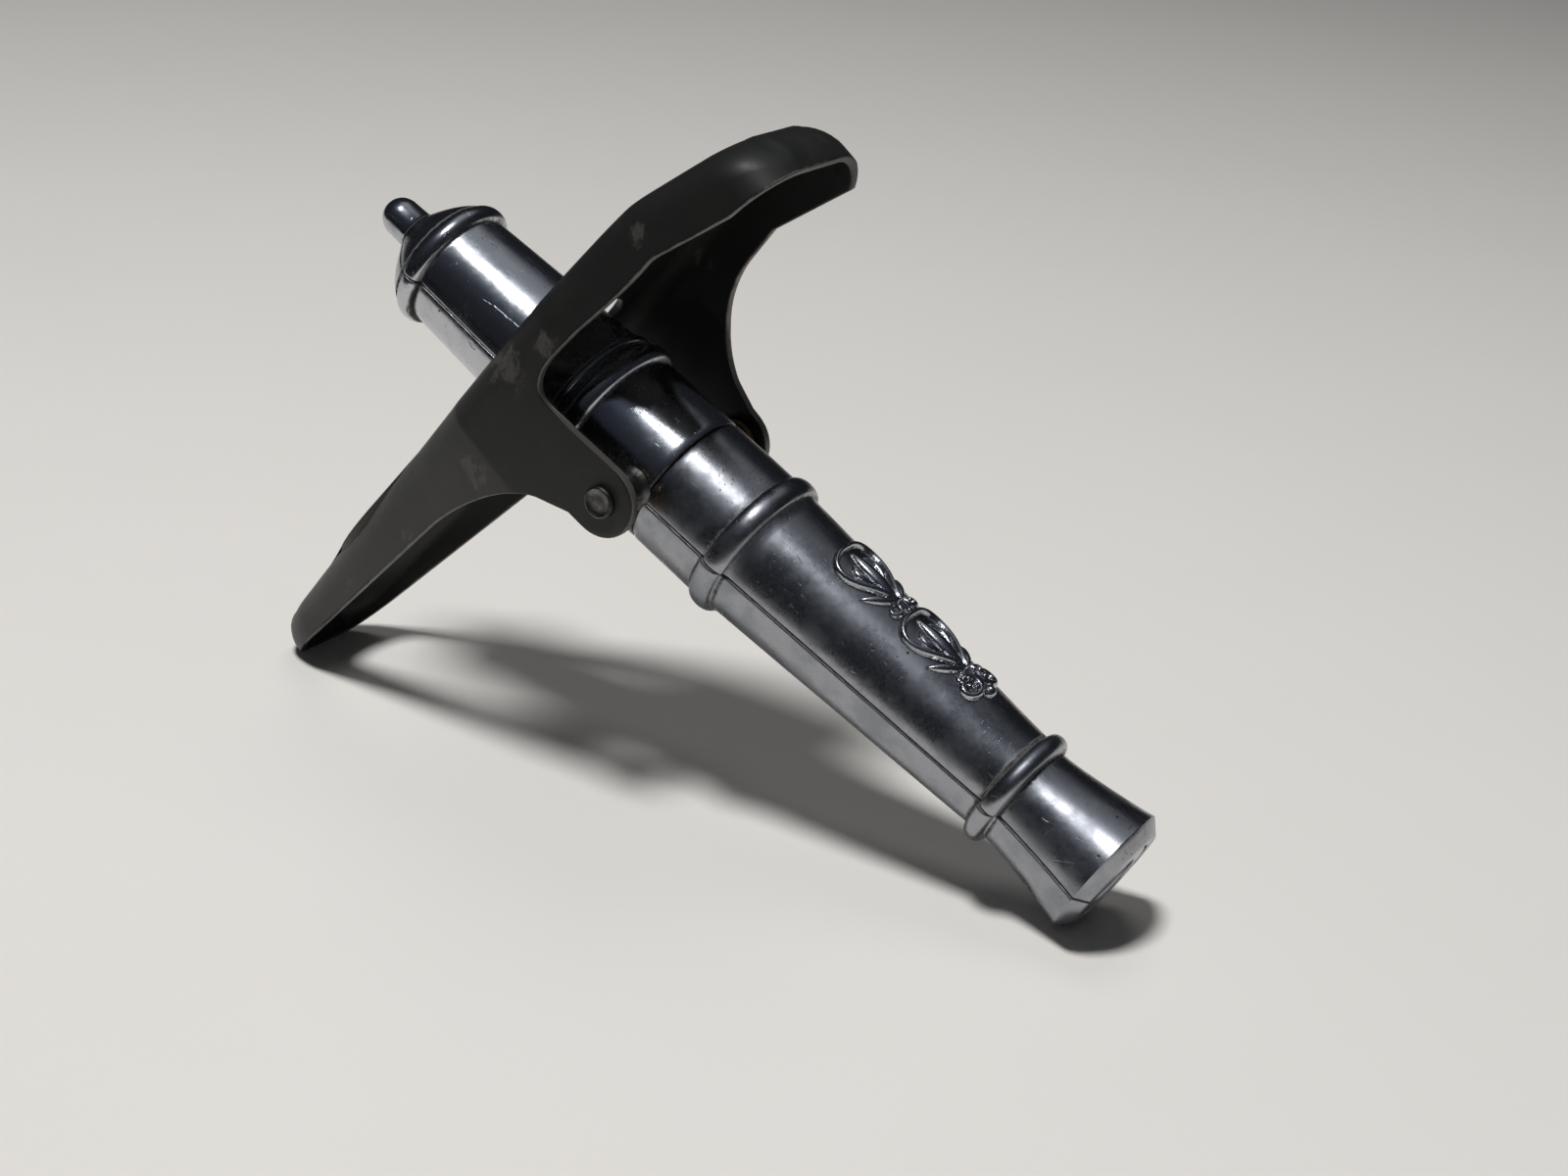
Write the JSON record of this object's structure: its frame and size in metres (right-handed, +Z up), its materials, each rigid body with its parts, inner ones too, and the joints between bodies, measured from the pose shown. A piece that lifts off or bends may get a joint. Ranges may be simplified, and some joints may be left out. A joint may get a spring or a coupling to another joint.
{
  "type": "cannon corkscrew",
  "caption": "Corkscrew shaped as a cannon: a barrel sheath pulls off the worm, and a slotted channel handle folds on trunnions.",
  "frame": {"origin": "middle of the footprint, on the table that the muzzle rim and one handle tip stand on", "axes": "+Z up, +X from the breech towards the muzzle along the table, Y along the trunnion axis"},
  "size_m": [0.1278, 0.0324, 0.0866],
  "materials": {
    "chrome": "worn chrome plate with fine pitting",
    "brass": "dull brass",
    "steel": "plain drawn steel",
    "black_steel": "satin black enamel with worn edges"
  },
  "bodies": {
    "sheath": {"sheath_shell_upper": "chrome", "sheath_shell_lower": "chrome", "relief_ornament": "chrome", "muzzle_disc": "chrome", "sheath_socket_bush": "brass"},
    "breech": {"breech_shell_upper": "chrome", "breech_shell_lower": "chrome", "cascabel_knob": "chrome", "spigot_sleeve": "brass", "worm_anchor_plug": "steel", "worm_cross_pin": "steel", "worm": "steel", "trunnion_bush_near": "steel", "trunnion_bush_far": "steel", "trunnion_washer_near": "brass", "trunnion_washer_far": "brass", "pivot_rivet_near": "steel", "pivot_rivet_far": "steel"},
    "handle": {"handle_channel": "black_steel"}
  },
  "joints": [
    {"name": "sheath_pull", "type": "slide", "parent": "sheath", "child": "breech", "axis": [-0.8887, 0, 0.4586], "range_m": [0, 0.06]},
    {"name": "handle_fold", "type": "hinge", "parent": "breech", "child": "handle", "pos_m": [-0.00536, 0, 0.04108], "axis": [0, 1, 0], "range_deg": [0, 80]}
  ]
}
